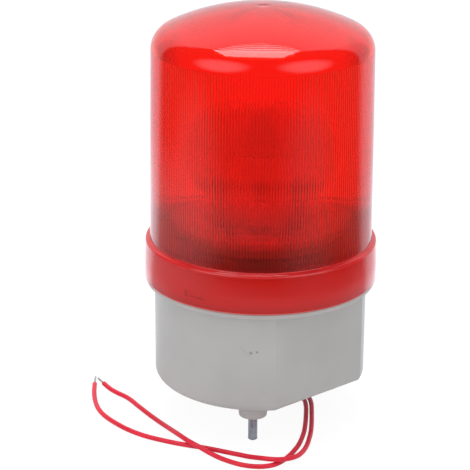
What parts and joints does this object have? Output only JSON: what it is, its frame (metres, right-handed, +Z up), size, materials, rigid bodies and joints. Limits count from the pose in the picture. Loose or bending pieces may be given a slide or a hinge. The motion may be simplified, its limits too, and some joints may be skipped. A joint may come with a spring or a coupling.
{
  "type": "rotating warning light",
  "caption": "Rotating warning light: fluted red dome lens on a round grey base with a side flat and mounting studs; a motor turns a reflector round the lamp, loose leads come out below.",
  "frame": {"origin": "on the lamp axis, at the level of the stud tips that the light stands on", "axes": "+Z up along the lamp axis; -Y towards one of the mounting studs"},
  "size_m": [0.1288, 0.1162, 0.1824],
  "materials": {
    "grey_abs": "moulded, satin",
    "red_lens": "moulded, clear red, gloss",
    "zinc_steel": "zinc plated",
    "spring_steel": "bright drawn",
    "black_rubber": "moulded, matte",
    "white_silicone": "moulded, matte",
    "white_acetal": "moulded, satin",
    "bright_reflector": "metallised plastic, mirror bright",
    "brass": "nickel free, drawn",
    "black_phenolic": "moulded, matte",
    "tinned_copper": "tinned",
    "lamp_glass": "clear",
    "tungsten": "drawn wire",
    "green_laminate": "satin",
    "black_sleeve": "shrunk sleeve",
    "white_ceramic": "unglazed",
    "red_pvc": "extruded, satin"
  },
  "bodies": {
    "housing": {"base_housing": "grey_abs", "mounting_studs": "zinc_steel", "cable_grommet": "black_rubber", "lens_gasket": "white_silicone", "deck": "grey_abs", "deck_screws": "zinc_steel", "thrust_washer": "white_acetal", "retaining_ring": "spring_steel", "lamp_socket": "brass", "contact_carrier": "black_phenolic", "contact_button": "brass", "contact_spring": "spring_steel", "lamp_cap": "brass", "lamp_solder": "tinned_copper", "lamp_glass": "lamp_glass", "lamp_stem": "lamp_glass", "lamp_filament": "tungsten", "motor_can": "zinc_steel", "motor_end_cap": "black_phenolic", "motor_terminals": "brass", "motor_screws": "zinc_steel", "circuit_board": "green_laminate", "board_screws": "zinc_steel", "smoothing_capacitor": "black_sleeve", "dropping_resistor": "white_ceramic", "rectifier_diodes": "black_phenolic", "supply_leads": "red_pvc", "lamp_leads": "red_pvc", "motor_leads": "red_pvc", "lead_wire_a": "red_pvc", "lead_wire_b": "red_pvc", "lead_core_a": "tinned_copper", "lead_core_b": "tinned_copper"},
    "lens_cover": {"lens": "red_lens"},
    "rotor": {"turntable": "white_acetal", "reflector": "bright_reflector", "reflector_screws": "zinc_steel"},
    "pinion": {"drive_pinion": "white_acetal", "motor_shaft": "spring_steel"}
  },
  "joints": [
    {"name": "rotor_spin", "type": "hinge", "parent": "housing", "child": "rotor", "pos_m": [0, 0, 0.08], "axis": [0, 0, 1], "continuous": true},
    {"name": "pinion_spin", "type": "hinge", "parent": "housing", "child": "pinion", "pos_m": [-0.01782, 0.01782, 0.075], "axis": [0, 0, 1], "continuous": true},
    {"name": "lens_twist", "type": "hinge", "parent": "housing", "child": "lens_cover", "pos_m": [0, 0, 0.07], "axis": [0, 0, 1], "range_deg": [0, 28]}
  ],
  "couplings": [
    {"joint": "pinion_spin", "follows": "rotor_spin", "ratio": -5}
  ]
}
